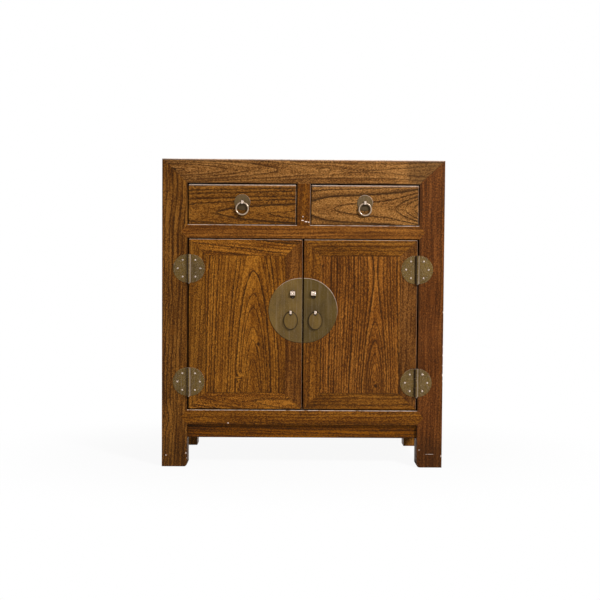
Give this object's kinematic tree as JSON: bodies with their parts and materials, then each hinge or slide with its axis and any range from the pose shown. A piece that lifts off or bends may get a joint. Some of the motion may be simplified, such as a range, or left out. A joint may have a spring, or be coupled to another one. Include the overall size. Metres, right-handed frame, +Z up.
{
  "type": "kang cabinet",
  "caption": "Low wooden cabinet with drawers above hinged doors, mitred post and rail frame on square legs, with ring pulls, oval pulls, lock plates and leaf hinges.",
  "frame": {"origin": "middle of the footprint, hardware included, on the floor", "axes": "+X to the right as seen from the front, +Y from the front to the back, +Z up"},
  "size_m": [0.8, 0.4138, 0.875],
  "materials": {
    "elm_frame": "oiled and worn varnish, semi-gloss",
    "elm_panel": "oiled and worn varnish, semi-gloss",
    "inside_wood": "bare, dusty",
    "aged_brass": "hand-worked, dulled and spotted"
  },
  "bodies": {
    "case": {"back_panels": "inside_wood", "bottom_rail": "elm_frame", "bottom_side_rails": "elm_frame", "case_hinge_leaves": "aged_brass", "case_hinge_nails": "aged_brass", "drawer_divider": "elm_frame", "drawer_runners": "inside_wood", "floor_board": "inside_wood", "front_apron": "elm_frame", "hinge_pins": "aged_brass", "left_front_post": "elm_frame", "left_rear_post": "elm_frame", "left_top_rail": "elm_frame", "middle_rail": "elm_frame", "rear_rails": "elm_frame", "right_front_post": "elm_frame", "right_rear_post": "elm_frame", "right_top_rail": "elm_frame", "shelf": "inside_wood", "shelf_bearers": "inside_wood", "side_aprons": "elm_frame", "side_panels": "elm_panel", "top_front_rail": "elm_frame", "top_panel": "elm_panel", "top_panel_brace": "inside_wood", "top_rear_rail": "elm_frame"},
    "left_drawer": {"left_drawer_back": "inside_wood", "left_drawer_bottom": "inside_wood", "left_drawer_front": "elm_frame", "left_drawer_pull_pin": "aged_brass", "left_drawer_pull_plate": "aged_brass", "left_drawer_sides": "inside_wood"},
    "left_ring": {"left_drawer_ring": "aged_brass"},
    "left_door": {"left_door_crosspieces": "elm_frame", "left_door_hinge_leaves": "aged_brass", "left_door_hinge_nails": "aged_brass", "left_door_hinge_stile": "elm_frame", "left_door_lock_plate": "aged_brass", "left_door_meeting_stile": "elm_frame", "left_door_panel": "elm_panel", "left_door_pull_pin": "aged_brass", "left_door_staple": "aged_brass"},
    "left_pull": {"left_door_pull": "aged_brass"},
    "right_drawer": {"right_drawer_back": "inside_wood", "right_drawer_bottom": "inside_wood", "right_drawer_front": "elm_frame", "right_drawer_pull_pin": "aged_brass", "right_drawer_pull_plate": "aged_brass", "right_drawer_sides": "inside_wood"},
    "right_ring": {"right_drawer_ring": "aged_brass"},
    "right_door": {"right_door_crosspieces": "elm_frame", "right_door_hinge_leaves": "aged_brass", "right_door_hinge_nails": "aged_brass", "right_door_hinge_stile": "elm_frame", "right_door_lock_plate": "aged_brass", "right_door_meeting_stile": "elm_frame", "right_door_panel": "elm_panel", "right_door_pull_pin": "aged_brass", "right_door_staple": "aged_brass"},
    "right_pull": {"right_door_pull": "aged_brass"}
  },
  "joints": [
    {"name": "left_drawer_slide", "type": "slide", "parent": "case", "child": "left_drawer", "axis": [0, -1, 0], "range_m": [0, 0.25]},
    {"name": "left_ring_swing", "type": "hinge", "parent": "left_drawer", "child": "left_ring", "pos_m": [-0.17363, -0.2009, 0.7533], "axis": [-1, 0, 0], "range_deg": [-4, 180]},
    {"name": "left_door_swing", "type": "hinge", "parent": "case", "child": "left_door", "pos_m": [-0.3236, -0.1989, 0.4045], "axis": [0, 0, -1], "range_deg": [0, 175]},
    {"name": "left_pull_swing", "type": "hinge", "parent": "left_door", "child": "left_pull", "pos_m": [-0.035, -0.2009, 0.4425], "axis": [-1, 0, 0], "range_deg": [-4, 150]},
    {"name": "right_drawer_slide", "type": "slide", "parent": "case", "child": "right_drawer", "axis": [0, -1, 0], "range_m": [0, 0.25]},
    {"name": "right_ring_swing", "type": "hinge", "parent": "right_drawer", "child": "right_ring", "pos_m": [0.17363, -0.2009, 0.7533], "axis": [-1, 0, 0], "range_deg": [-4, 180]},
    {"name": "right_door_swing", "type": "hinge", "parent": "case", "child": "right_door", "pos_m": [0.3236, -0.1989, 0.4045], "axis": [0, 0, 1], "range_deg": [0, 175]},
    {"name": "right_pull_swing", "type": "hinge", "parent": "right_door", "child": "right_pull", "pos_m": [0.035, -0.2009, 0.4425], "axis": [-1, 0, 0], "range_deg": [-4, 150]}
  ]
}
